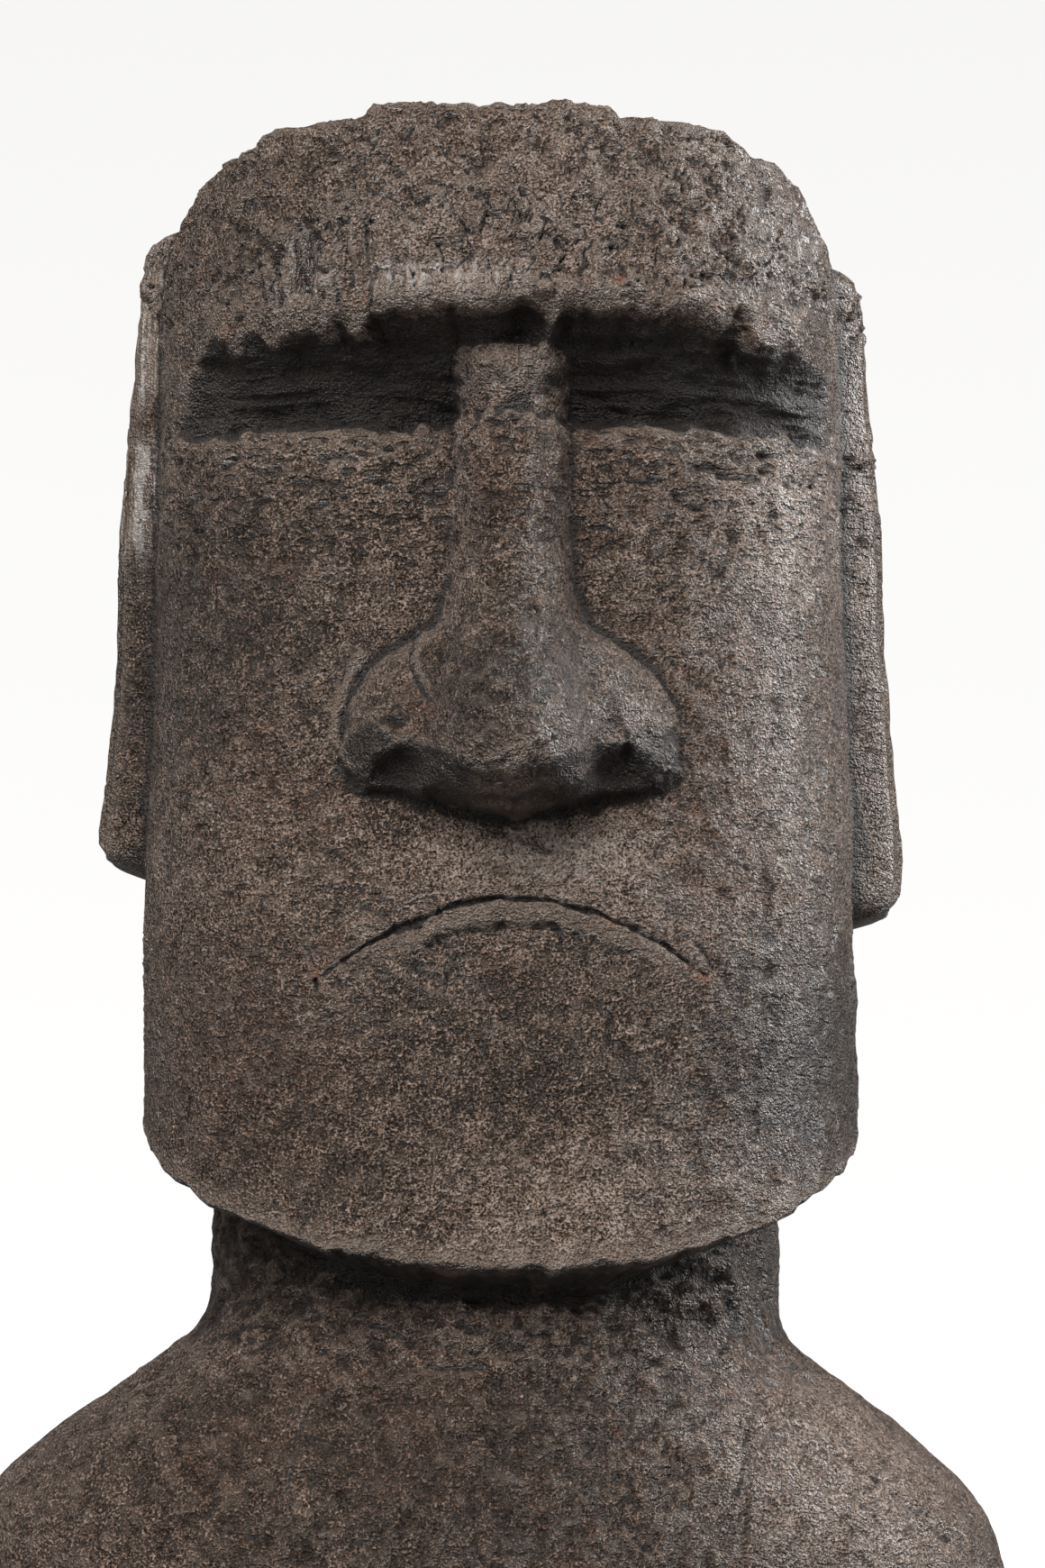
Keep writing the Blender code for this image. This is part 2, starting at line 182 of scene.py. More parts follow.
# Relief in metres. Lines are bent lines of (x, z) on the front, with half a width and a height, and
# spots are round: (x, z), a reach and a height.
LINES = (
    (((-0.0625, 0.683), (-0.0630, 0.698), (-0.0655, 0.716)), 0.0018, -0.0030),
    (((-0.0655, 0.716), (-0.0640, 0.736), (-0.0665, 0.760)), 0.0014, -0.0012),
    (((-0.0935, 0.684), (-0.0930, 0.700), (-0.0950, 0.722)), 0.0022, -0.0024),
    (((-0.0780, 0.684), (-0.0790, 0.698), (-0.0775, 0.712)), 0.0018, -0.0022),
    (((-0.1080, 0.686), (-0.1070, 0.698), (-0.1090, 0.710)), 0.0020, -0.0020),
    (
        ((-0.0690, 0.516), (-0.0755, 0.502), (-0.0800, 0.487), (-0.0790, 0.474), (-0.0745, 0.461)),
        0.0040,
        0.0026,
    ),
    (
        ((-0.0405, 0.527), (-0.0440, 0.513), (-0.0430, 0.504), (-0.0385, 0.495), (-0.0330, 0.488)),
        0.0016,
        -0.0022,
    ),
    (((-0.0365, 0.524), (-0.0400, 0.512), (-0.0385, 0.503), (-0.0340, 0.495)), 0.0018, 0.0018),
    (((-0.0895, 0.360), (-0.0915, 0.3665), (-0.0945, 0.371)), 0.0018, -0.0018),
    (((-0.0892, 0.356), (-0.0885, 0.350)), 0.0022, -0.0036),
    (((0.0870, 0.379), (0.0960, 0.374), (0.1030, 0.364)), 0.0022, -0.0015),
    (((-0.1010, 0.118), (-0.1000, 0.104), (-0.0975, 0.094)), 0.0012, -0.0013),
    (((0.1200, 0.137), (0.1190, 0.122), (0.1150, 0.108)), 0.0012, -0.0013),
    (((0.1500, 0.131), (0.1660, 0.127), (0.1760, 0.118), (0.1900, 0.114)), 0.0018, -0.0022),
    (((0.1850, 0.115), (0.1980, 0.103), (0.2110, 0.097), (0.2200, 0.085)), 0.0018, -0.0022),
    (((0.1560, 0.112), (0.1700, 0.108), (0.1830, 0.096)), 0.0014, -0.0018),
)
SPOTS = (
    (0.0220, 0.6900, 0.0052, 0.0046),
    (-0.0030, 0.6880, 0.0050, 0.0026),
    (-0.1375, 0.6775, 0.0058, 0.0040),
    (-0.1310, 0.6830, 0.0048, -0.0030),
    (0.1150, 0.6655, 0.0085, -0.0048),
    (0.1165, 0.6640, 0.0040, 0.0060),
    (0.1190, 0.6840, 0.0060, -0.0034),
    (0.1265, 0.6760, 0.0050, 0.0030),
    (-0.1264, 0.6310, 0.0075, 0.0038),
    (-0.0549, 0.6335, 0.0080, 0.0036),
    (-0.0380, 0.6300, 0.0070, 0.0030),
    (0.0560, 0.6260, 0.0080, 0.0026),
    (-0.0511, 0.4781, 0.0090, -0.0034),
    (-0.0500, 0.4810, 0.0040, 0.0042),
    (-0.0545, 0.4740, 0.0038, 0.0036),
    (0.0874, 0.4580, 0.0034, 0.0024),
    (0.0142, 0.4941, 0.0016, 0.0012),
    (0.1203, 0.4112, 0.0022, -0.0034),
    (-0.0306, 0.1807, 0.0026, -0.0034),
    (0.0100, 0.4690, 0.0020, -0.0016),
    (0.0270, 0.4650, 0.0026, -0.0020),
    (0.0620, 0.4640, 0.0045, -0.0040),
)
# Round places painted paler or darker as painted light and shade: lit chin, upper lip and forehead, sheen on
# the right cheek's edge and right shoulder, shade on the nose, jaws, left side and chest: (x, z), a reach and
# an amount.
PAINTED_LIGHT_AND_SHADE = (
    (0.016, 0.225, 0.060, 1.0),
    (0.012, 0.310, 0.060, -0.5),
    (0.000, 0.730, 0.120, 0.6),
    (0.020, 0.425, 0.050, 1.2),
    (0.150, 0.585, 0.035, 1.2),
    (0.006, 0.480, 0.055, -1.1),
    (0.006, 0.585, 0.040, -0.5),
    (-0.120, 0.720, 0.050, -0.5),
    (-0.150, 0.300, 0.080, -0.6),
    (0.165, 0.320, 0.060, -1.9),
    (-0.172, 0.540, 0.090, -0.8),
    (0.000, 0.120, 0.130, -0.8),
    (-0.160, 0.110, 0.080, -0.4),
    (0.170, 0.130, 0.060, 0.6),
)
# Places where the orange-brown filler shows: (x, z) and a reach.
RUSTY = (
    (0.0455, 0.6232, 0.0040), (-0.1375, 0.6770, 0.0045), (0.1080, 0.6850, 0.0040), (0.1265, 0.6740, 0.0060),
    (0.1330, 0.6820, 0.0040), (-0.0890, 0.3590, 0.0045), (0.0990, 0.3560, 0.0060), (0.0920, 0.3610, 0.0035),
    (0.0550, 0.3830, 0.0040), (0.0230, 0.6880, 0.0030), (-0.0650, 0.6860, 0.0035), (-0.0930, 0.7020, 0.0030),
    (0.0590, 0.6960, 0.0040),
)

# Colours of the coat, and the colours painted in for shade, glints and sheen.
GRAIN_DARK = (0.0100, 0.0060, 0.0040, 1)
GRAIN_PALE = (0.2240, 0.1440, 0.1000, 1)
# Dark stain, also painted as shade under the jaw and at the right jaw's corner.
STAIN_AND_SHADE = (0.0260, 0.0180, 0.0135, 1)
BROWN_TINT = (0.1200, 0.0600, 0.0360, 1)
BRUSHED_STREAK = (0.0230, 0.0165, 0.0130, 1)
FILLER = (0.2400, 0.0950, 0.0550, 1)
# Pale grain tips: painted glints, partly dry-brushed paler tips.
TIP_GLINT = (0.4000, 0.3450, 0.3100, 1)
# Painted shade in the seams and pits.
SEAM_SHADE = (0.0120, 0.0080, 0.0060, 1)
# Worn paler coat, also painted as highlights on the brow's lip, the left ear's strips and raised lines.
WEAR_AND_HIGHLIGHT = (0.1950, 0.1480, 0.1170, 1)
# Painted sheen on the sleek places.
PAINTED_SHEEN = (0.3600, 0.3300, 0.3050, 1)
# Painted shade: the near-black painted where shade falls in hollows, under edges and at joints.
SHADE_COLOUR = (0.0120, 0.0066, 0.0040, 1)


def smooth_curve(stations, at):
    """Values at some places of a curve through (place, value) stations, with no overshoot between them."""
    places, values = np.array(stations, float).T
    slopes = np.diff(values) / np.diff(places)
    before = slopes[:-1]
    after = slopes[1:]
    same_way = before * after > 0
    both = np.where(same_way, before + after, 1.0)
    inner = np.where(same_way, 2 * before * after / both, 0.0)
    tangents = np.concatenate([[slopes[0]], inner, [slopes[-1]]])
    at = np.clip(at, places[0], places[-1])
    left = np.clip(np.searchsorted(places, at, side="right") - 1, 0, len(places) - 2)
    width = places[left + 1] - places[left]
    share = (at - places[left]) / width
    start = (1 + 2 * share) * (1 - share) ** 2
    return (
        start * values[left]
        + (1 - start) * values[left + 1]
        + share * (1 - share) ** 2 * width * tangents[left]
        - share**2 * (1 - share) * width * tangents[left + 1]
    )


def ease(share):
    """A smooth step from 0 to 1 while the share goes from 0 to 1."""
    share = np.clip(share, 0.0, 1.0)
    return share * share * (3 - 2 * share)


def bump(distance):
    """A smooth swelling, 1 at distance 0 and gone at distance 1 and beyond."""
    return np.clip(1 - distance * distance, 0.0, None) ** 2


def dome(share, fullness, edge):
    """A rounded section, 1 in the middle and 0 at share 1. A small edge power makes its sides steep."""
    return np.clip(1 - share**fullness, 0.0, None) ** edge


def crowded(count, low, high, crowds):
    """Places from low to high that stand closer together round each (place, reach, crowding)."""
    fine = np.linspace(low, high, 4000)
    density = np.ones_like(fine)
    for place, reach, crowding in crowds:
        density += crowding * np.exp(-(((fine - place) / reach) ** 2))
    passed = np.concatenate([[0.0], np.cumsum((density[1:] + density[:-1]) / 2)])
    return np.interp(np.linspace(0.0, passed[-1], count), passed, fine)


def lumps(points, size=LUMP_SIZE, seed=LUMP_SEED):
    """Smooth random values from -1 to 1, one lattice cell to each lump."""
    cells = 32
    table = np.random.default_rng(seed).uniform(-1.0, 1.0, (cells, cells, cells)).reshape(-1)
    place = points / size
    corner = np.floor(place).astype(int)
    share_x, share_y, share_z = np.moveaxis(ease(place - corner), -1, 0)
    low_x, low_y, low_z = np.moveaxis(corner % cells, -1, 0)
    high_z = (low_z + 1) % cells
    sides = []
    for along_x in (low_x, (low_x + 1) % cells):
        edges = []
        for along_y in (low_y, (low_y + 1) % cells):
            start = (along_x * cells + along_y) * cells
            near = table[start + low_z]
            edges.append(near + (table[start + high_z] - near) * share_z)
        sides.append(edges[0] + (edges[1] - edges[0]) * share_y)
    return sides[0] + (sides[1] - sides[0]) * share_x


def line_noise(x, size, seed):
    """Smooth random values from -1 to 1 along a line."""
    table = np.random.default_rng(seed).uniform(-1.0, 1.0, 512)
    place = x / size
    corner = np.floor(place).astype(int)
    near = table[corner % 512]
    return near + (table[(corner + 1) % 512] - near) * ease(place - corner)


def rough(points, size, seed, octaves=3):
    """Lumps with finer and finer lumps on them."""
    size = np.array(size, float)
    total = np.zeros(points.shape[:-1])
    for octave in range(octaves):
        total += lumps(points, size / 2**octave, seed + octave) / 2**octave
    return total / (2 - 0.5 ** (octaves - 1))


def cracks(points, size, width, seed):
    """1 along thin wandering lines, 0 away from them."""
    return bump(rough(points, size, seed, 2) / width)


def flakes(points, size, seed):
    """A random level from -1 to 1 for each flake of the surface, with sharp ragged borders."""
    cells = 64
    shifts = [lumps(points, 0.45 * size, seed + axis) for axis in range(3)]
    shaken = points + 0.30 * size * np.stack(shifts, axis=-1)
    generator = np.random.default_rng(seed)
    offsets = generator.uniform(0.0, 1.0, (cells**3, 3))
    levels = generator.uniform(-1.0, 1.0, cells**3)
    place = shaken / size
    corner = np.floor(place).astype(int)
    nearest = np.full(points.shape[:-1], np.inf)
    level = np.zeros(points.shape[:-1])
    for step in np.ndindex(3, 3, 3):
        cell = corner + np.array(step) - 1
        wrapped = cell % cells
        index = (wrapped[..., 0] * cells + wrapped[..., 1]) * cells + wrapped[..., 2]
        away = np.square(cell + offsets[index] - place).sum(axis=-1)
        closer = away < nearest
        nearest = np.where(closer, away, nearest)
        level = np.where(closer, levels[index], level)
    return level


def ring_radius(angle, half_width, front, back, squareness):
    """Distance from the axis to a superellipse ring."""
    forward = np.cos(angle)
    across = np.abs(np.sin(angle)) / half_width
    along = np.abs(forward) / np.where(forward > 0, front, back)
    return (across**squareness + along**squareness) ** (-1 / squareness)


def brow_waver(x):
    """How far the brow's ragged edge hangs below its even course at some x in metres, as a share."""
    folds = 0.0022 * line_noise(x, 0.0080, 61) + 0.0016 * line_noise(x, 0.0038, 62)
    left = ease((-0.0625 - x) / 0.0025)
    left_folds = 0.0062 * line_noise(x, 0.0088, 63) * left
    notch = -0.0070 * bump((x - 0.0110) / 0.0150)
    tooth = 0.0080 * bump((x - 0.0255) / 0.0060)
    right = 0.0110 * ease((x - 0.0700) / 0.0650)
    chips = 0.0065 * line_noise(x, 0.0090, 64) * ease((x - 0.0950) / 0.0150)
    return folds + 0.0095 * left + left_folds + notch + tooth + right + chips


def head_radius(angle, height):
    """Distance from the axis to the head, and how much of an eye hollow is there."""
    half_width = smooth_curve(HEAD_HALF_WIDTH, height)
    front = smooth_curve(HEAD_FRONT, height)
    back = smooth_curve(HEAD_BACK, height)
    squareness = smooth_curve(HEAD_SQUARENESS, height)
    full = ring_radius(angle, half_width, front, back, squareness)
    x = full * np.sin(angle)
    at_brow = ease((height - 0.822) / 0.014)
    hung = height + brow_waver(x * BUST_HEIGHT) * at_brow * ease((0.90 - height) / 0.03)
    ledge = 0.0032 * line_noise(x, 0.020, 71) + 0.0016 * line_noise(x, 0.008, 72)
    hung = hung + ledge * bump((height - 0.79) / 0.016)
    hollow = smooth_curve(EYE_HOLLOW, hung)
    hollowed = ring_radius(angle, half_width, front - hollow, back, squareness)
    end = EYE_END * (1 + 0.25 * line_noise(height, 0.02, 73))
    temple = ease((np.abs(x - EYE_X) - smooth_curve(EYE_HALF_WIDTH, height)) / end)
    low, high = EYE_MASK
    inside = ease((hung - low) / 0.004) * ease((high - hung) / 0.003) * (1 - temple)
    inside = inside * ease((np.cos(angle) - 0.30) / 0.14)
    return hollowed + (full - hollowed) * temple, inside


def torso_radius(angle, height):
    return ring_radius(
        angle,
        smooth_curve(TORSO_HALF_WIDTH, height),
        smooth_curve(TORSO_FRONT, height),
        smooth_curve(TORSO_BACK, height),
        smooth_curve(TORSO_SQUARENESS, height),
    )


def jaw_height(angle):
    degrees = np.degrees(angle)
    ragged = 0.0014 * line_noise(degrees, 5.0, 105) + 0.0009 * line_noise(degrees, 2.0, 106)
    return smooth_curve(JAW_LINE, np.abs(degrees)) - JAW_TILT * np.sin(angle) + ragged


def mouth_height(x):
    """Height of the mouth's groove, which falls away on both sides of its middle."""
    return MOUTH_TOP - MOUTH_FALL * np.abs((x - MOUTH_X) / MOUTH_HALF_WIDTH) ** 1.9


def nose_out(x, height):
    """How far the nose stands out of the face, and how much of a nostril or of its foot is there."""
    side = np.abs(x - NOSE_X)
    ridge = smooth_curve(RIDGE_OUT, height) * dome(side / smooth_curve(RIDGE_HALF_WIDTH, height), 2.8, 0.9)
    wings = smooth_curve(WINGS_OUT, height) * dome(side / smooth_curve(WINGS_HALF_WIDTH, height), 3.5, 0.6)
    both = np.cbrt(ridge**3 + wings**3)
    bottom = smooth_curve(NOSE_BOTTOM, side) + 0.0015 * line_noise(x, 0.012, 81)
    low = np.clip((height - bottom) / NOSE_BOTTOM_ROUND, 0.0, 1.0)
    across = (side - NOSTRIL_X) / NOSTRIL_HALF_WIDTH
    upward = (height - NOSTRIL_HEIGHT + 0.004 * across**2) / NOSTRIL_HALF_HEIGHT
    nostril = ease(1.25 - 1.25 * np.hypot(across, upward))
    out = np.clip(both * np.sqrt(1 - (1 - low) ** 2.6) - NOSTRIL_DEPTH * nostril, 0.0, None)
    foot = ease((0.034 - (height - bottom)) / 0.030) * (height > bottom - 0.006)
    return out, nostril * (both > 0), foot


def mouth_out(x, height):
    """How far the lips stand out, less the groove between them, and how much of a groove or lip is there."""
    along = np.abs(x - MOUTH_X) / MOUTH_HALF_WIDTH
    above = height - mouth_height(x) + 0.0012 * line_noise(x, 0.010, 91)
    inside = ease((1.06 - along) / 0.14)
    groove = bump(above / GROOVE_REACH) * inside
    edge = LIP_HEIGHT + 0.0015 * line_noise(x, 0.008, 92)
    lip = ease(-above / GROOVE_REACH) * ease((above + edge + LIP_EDGE) / LIP_EDGE) * bump(along / 1.10)
    swell = SWELL_OUT * bump((above - SWELL_RISE) / SWELL_REACH) * bump(along / 1.35)
    return LIP_OUT * lip - GROOVE_DEPTH * groove + swell, groove, lip


def ear_out(x, y, height):
    """How far the skin moves out to make the ear, and how much of its edge or its joint is there."""
    from_side = np.minimum(y - EAR_FRONT, smooth_curve(EAR_BACK, height) - y)
    from_end = np.minimum(
        height - np.where(x > 0, RIGHT_EAR_BOTTOM, LEFT_EAR_BOTTOM),
        np.where(x > 0, RIGHT_EAR_TOP, LEFT_EAR_TOP) - height,
    )
    corner = np.hypot(np.clip(EAR_ROUND - from_side, 0.0, None), np.clip(EAR_ROUND - from_end, 0.0, None))
    inside = np.where(corner > 0, EAR_ROUND - corner, np.minimum(from_side, from_end))
    step = ease(inside / EAR_STEP)
    chamfer = ease((inside - EAR_STEP) / EAR_CHAMFER)
    hollow = EAR_HOLLOW * ease((inside - EAR_RIM) / EAR_HOLLOW_SLOPE)
    reach = smooth_curve(EAR_EDGE_X, height) - np.abs(x)
    out = (EAR_STEP_SHARE * step + (1 - EAR_STEP_SHARE) * chamfer) * reach - hollow
    joint = bump((inside + 0.001) / 0.006) * ease((0.03 - y) / 0.03)
    return out, ease(inside / 0.005 + 0.6) * ease((EAR_RIM - inside) / 0.006 + 1), joint


def follow_carving(angle, height):
    """Heights bent so that a row of points runs along the jaw, the mouth and the underside of the nose."""
    jaw_row = 0.30
    nose_row = 0.552
    across = 0.2 * np.sin(angle)
    forward = ease(np.cos(angle) * 3)
    jaw = jaw_height(angle) - jaw_row
    mouth = np.clip(mouth_height(across) - MOUTH_TOP, -MOUTH_FALL, 0.0)
    nose = smooth_curve(NOSE_BOTTOM, np.abs(across - NOSE_X)) - nose_row
    return (
        height
        + jaw * bump((height - jaw_row) / 0.14)
        + mouth * forward * bump((height - MOUTH_TOP) / 0.10)
        + nose * forward * bump((height - nose_row) / 0.04)
    )


def bend_to_rim(angle, height):
    """Heights near the crown moved so that the top row runs along the uneven rim."""
    degrees = np.degrees(np.abs(angle))
    rim = np.where(angle > 0, smooth_curve(RIM_RIGHT, degrees), smooth_curve(RIM_LEFT, degrees))
    rim = rim + 0.0012 * line_noise(np.degrees(angle), 2.0, 101)
    rim = rim + 0.0016 * line_noise(np.degrees(angle), 7.0, 102)
    rise = np.clip((height - RIM_BENDS_FROM) / (RIM - RIM_BENDS_FROM), 0.0, None)
    return height + (rim - RIM) * rise


def skin(angle, height):
    """Points of the form towards some angles at some heights, and what each of them belongs to."""
    height = follow_carving(angle, height)
    torso = torso_radius(angle, height)
    step = smooth_curve(JAW_STEP, np.degrees(np.abs(angle)))
    is_head = ease((height - jaw_height(angle)) / step + 0.5)
    head, hollow = head_radius(angle, height)
    radius = torso + (head - torso) * is_head
    x = radius * np.sin(angle)
    y = -radius * np.cos(angle)
    final_height = bend_to_rim(angle, height)
    in_front = ease(np.cos(angle) * 4)
    nose, nostril, foot = nose_out(x, height)
    side_of_nose = np.abs(x - NOSE_X)
    mouth, groove, lip = mouth_out(x, height)
    ear, is_ear, joint = ear_out(x, y, final_height)
    forward = (nose + mouth) * in_front * is_head
    sideways = np.sign(x) * ear * is_head
    shift = smooth_curve(TORSO_SHIFT, height) * (1 - is_head)
    points = np.stack([x + sideways - shift, y - forward, final_height], axis=-1)
    outward = np.stack([np.sin(angle), -np.cos(angle), np.zeros_like(angle)], axis=-1)
    points += outward * LUMP_HEIGHT * lumps(points)[..., None]
    traits = {
        "head": is_head,
        "hollow": hollow * is_head,
        "nose": np.clip(nose / 0.03, 0.0, 1.0) * in_front * is_head,
        "nose skin": ease(nose / 0.006) * in_front * is_head,
        "nostril": nostril * in_front * is_head,
        "foot": foot * in_front * is_head * (side_of_nose < 0.108),
        "groove": groove * in_front * is_head,
        "lip": lip * in_front * is_head,
        "ear": is_ear * is_head,
        "joint": joint * is_head,
        "ear out": sideways,
        "crown": ease((height - 0.90) / 0.08),
    }
    return points, traits


def skin_grid():
    """The form as rows of points, from the underside to the rim and inwards over the crown, in metres."""
    angles = crowded(
        COLUMNS + 1, -180, 180, ((0, 62, 3.2), (-34, 6, 1.2), (34, 6, 1.2), (-92, 17, 2.0), (92, 17, 2.0))
    )
    heights = crowded(
        ROWS,
        0.0,
        RIM,
        (
            (0.27, 0.03, 0.8), (0.49, 0.03, 1.6), (0.555, 0.02, 2.0), (0.64, 0.06, 0.6),
            (0.83, 0.05, 1.6), (0.97, 0.02, 1.2),
        ),
    )
    angle, height = np.meshgrid(np.radians(angles[:-1]), heights)
    points, traits = skin(angle, height)
    rim = points[-1]
    ear_part = traits["ear out"][-1, :, None] * np.array([1.0, 0.0, 0.0])
    middle = np.array([0.0, CROWN_BACK, 0.0])
    inward = np.linspace(1.0, 0.0, CROWN_RINGS + 1)[1:-1, None, None]
    at_edge = ease((inward - 0.86) / 0.14)
    crown = middle + (rim - ear_part - middle) * inward + ear_part * at_edge
    crown[..., 2] = rim[:, 2] + (1.0 - LUMP_HEIGHT - rim[:, 2]) * (1 - inward[..., 0] ** 3)
    crown[..., 2] += LUMP_HEIGHT * lumps(crown)
    for name, values in traits.items():
        above = np.repeat(values[-1:], len(crown), axis=0)
        if name in ("ear", "joint"):
            above = above * at_edge[..., 0]
        traits[name] = np.concatenate([values, above])
    return np.concatenate([points, crown]) * BUST_HEIGHT, traits


def normals_of(points):
    """Outward directions at the points of the grid."""
    along = np.roll(points, -1, axis=1) - np.roll(points, 1, axis=1)
    up = np.gradient(points, axis=0)
    normals = np.cross(along, up)
    return normals / (np.linalg.norm(normals, axis=-1, keepdims=True) + 1e-12)


def bend(points, normals, steps):
    """How hollow the surface is over some grid steps: above 0 in a hollow, below 0 on an edge."""
    rows = np.arange(len(points))
    up = points[np.clip(rows + steps, 0, len(points) - 1)]
    down = points[np.clip(rows - steps, 0, len(points) - 1)]
    left = np.roll(points, steps, axis=1)
    right = np.roll(points, -steps, axis=1)
    beside = (up + down + left + right) / 4 - points
    span = np.linalg.norm(up - down, axis=-1) + np.linalg.norm(left - right, axis=-1)
    return np.einsum("ijk,ijk->ij", beside, normals) / (span / 4 + 1e-6)


def from_line(x, z, line):
    """Distance from some places to a bent line."""
    nearest = np.full(x.shape, np.inf)
    for (x0, z0), (x1, z1) in zip(line, line[1:]):
        along_x = x1 - x0
        along_z = z1 - z0
        share = ((x - x0) * along_x + (z - z0) * along_z) / (along_x**2 + along_z**2)
        share = np.clip(share, 0.0, 1.0)
        nearest = np.minimum(nearest, np.hypot(x - x0 - share * along_x, z - z0 - share * along_z))
    return nearest


def relief(points, normals, traits):
    """Heights of the relief on the form, in metres."""
    x, y, z = np.moveaxis(points, -1, 0)
    front = ease(-normals[..., 1] * 2.5)
    facing = 0.55 + 0.45 * ease(0.5 - y / 0.10)
    head = traits["head"]
    hollow = traits["hollow"]
    nose = traits["nose"]
    crown = traits["crown"]
    ear = traits["ear"] * (1 - front * (np.abs(x) < 0.15))
    neck = (1 - head) * ease((z - 0.145) / 0.03)
    forehead = front * ease((z - 0.688) / 0.008)
    plain = 1 - hollow
    bold = forehead * (1 - ease((z - 0.735) / 0.025))

    height = 0.0008 * rough(points, 0.030, 11, 2)
    coat = (0.0011 + 0.0009 * front) * rough(points, 0.0095, 21, 3)
    height += coat * facing * (1 + 0.9 * neck) * (1 - 0.6 * ear)

    flaky = ease(rough(points, 0.045, 14, 2) * 1.6 + 0.25 + 0.6 * forehead)
    levels = 0.0008 * flakes(points, 0.013, 15) + 0.0004 * flakes(points, 0.0065, 18)
    height += plain * facing * flaky * (1 - ear) * levels * (1 + 0.7 * bold)

    dents = np.clip(rough(points, (0.0110, 0.0110, 0.0040), 31, 2) - 0.24, 0.0, None)
    below_eyes = front * ease((z - 0.570) / 0.03) * ease((0.640 - z) / 0.01) * (1 - hollow) * (1 - nose)
    height -= facing * dents * (0.0006 + 0.0075 * below_eyes + 0.0050 * neck)

    curl = rough(points, 0.0120, 43, 3)
    curl_share = ease(rough(points, 0.022, 46, 2) * 3 + 0.5) * (0.25 + 0.75 * forehead) * facing
    curl_share *= 1 + 0.6 * bold - 0.5 * crown
    height += curl_share * (0.0014 * ease((curl - 0.02) / 0.05) - 0.0022 * bump((curl - 0.01) / 0.05))
    ridges = 1 - 3.0 * np.abs(rough(points, (0.0075, 0.0180, 0.045), 41, 2))
    left_brow = bump((x + 0.096) / 0.044) * bump((z - 0.700) / 0.048)
    height += forehead * np.clip(ridges, -1.0, 1.0) * (0.0006 + 0.0056 * left_brow)
    lip_share = ease((x + 0.064) / 0.004) * ease((0.150 - x) / 0.04)
    brow_bulge = bump((z - 0.6890) / 0.0130) * (0.35 + 0.65 * lip_share) * (1 - hollow)
    height += front * 0.0026 * brow_bulge * (1 + 1.6 * rough(points, (0.0085, 0.012, 0.011), 49, 3))
    height += crown * facing * 0.0008 * rough(points, 0.012, 47, 3)

    lumpy = 0.0026 * rough(points, (0.024, 0.014, 0.009), 51, 3)
    strokes = 1 - 3.0 * np.abs(rough(points, (0.050, 0.020, 0.0055), 54, 2))
    height += hollow * (1 - nose) * (lumpy + 0.0014 * np.clip(strokes, -1.0, 1.0))
    ledge = front * bump((z - 0.630) / 0.012) * (1 - nose)
    height += ledge * 0.0040 * rough(points, (0.016, 0.010, 0.0055), 56, 3)

    height += traits["ear"] * 0.0010 * rough(points, (0.012, 0.012, 0.020), 58, 3)
    shoulder = (1 - head) * ease((0.17 - z) / 0.03)
    split = cracks(points, 0.036, 0.040, 66) * ease(rough(points, 0.05, 68, 1) * 3 + 0.2)
    height -= shoulder * split * 0.0013

    across = x + 0.0016 * lumps(points, 0.006, 69)
    upward = z + 0.0016 * lumps(points, 0.006, 70)
    for line, reach, rise in LINES:
        height += front * rise * bump(from_line(across, upward, line) / reach)
    for spot_x, spot_z, reach, rise in SPOTS:
        height += front * rise * bump(np.hypot(across - spot_x, upward - spot_z) / reach)
    return height - 0.0004


def grid_mesh(points):
    """A closed mesh through the rows of points, with a fan of triangles at each end."""
    rows, columns = points.shape[:2]
    count = rows * columns
    index = np.arange(count).reshape(rows, columns)
    after = np.roll(index, -1, axis=1)
    quads = np.stack([index[:-1], after[:-1], after[1:], index[1:]], axis=-1).reshape(-1, 4)
    below = np.stack([after[0], index[0], np.full(columns, count)], axis=-1)
    above = np.stack([index[-1], after[-1], np.full(columns, count + 1)], axis=-1)
    corners = np.concatenate([quads.reshape(-1), below.reshape(-1), above.reshape(-1)])
    sizes = np.repeat([4, 3], [len(quads), 2 * columns])
    places = np.concatenate([points.reshape(-1, 3), points[:1].mean(axis=1), points[-1:].mean(axis=1)])
    mesh = bpy.data.meshes.new("fine_skin")
    mesh.vertices.add(len(places))
    mesh.vertices.foreach_set("co", places.reshape(-1))
    mesh.loops.add(len(corners))
    mesh.loops.foreach_set("vertex_index", corners)
    mesh.polygons.add(len(sizes))
    mesh.polygons.foreach_set("loop_start", np.concatenate([[0], np.cumsum(sizes)[:-1]]))
    mesh.update(calc_edges=True)
    return mesh


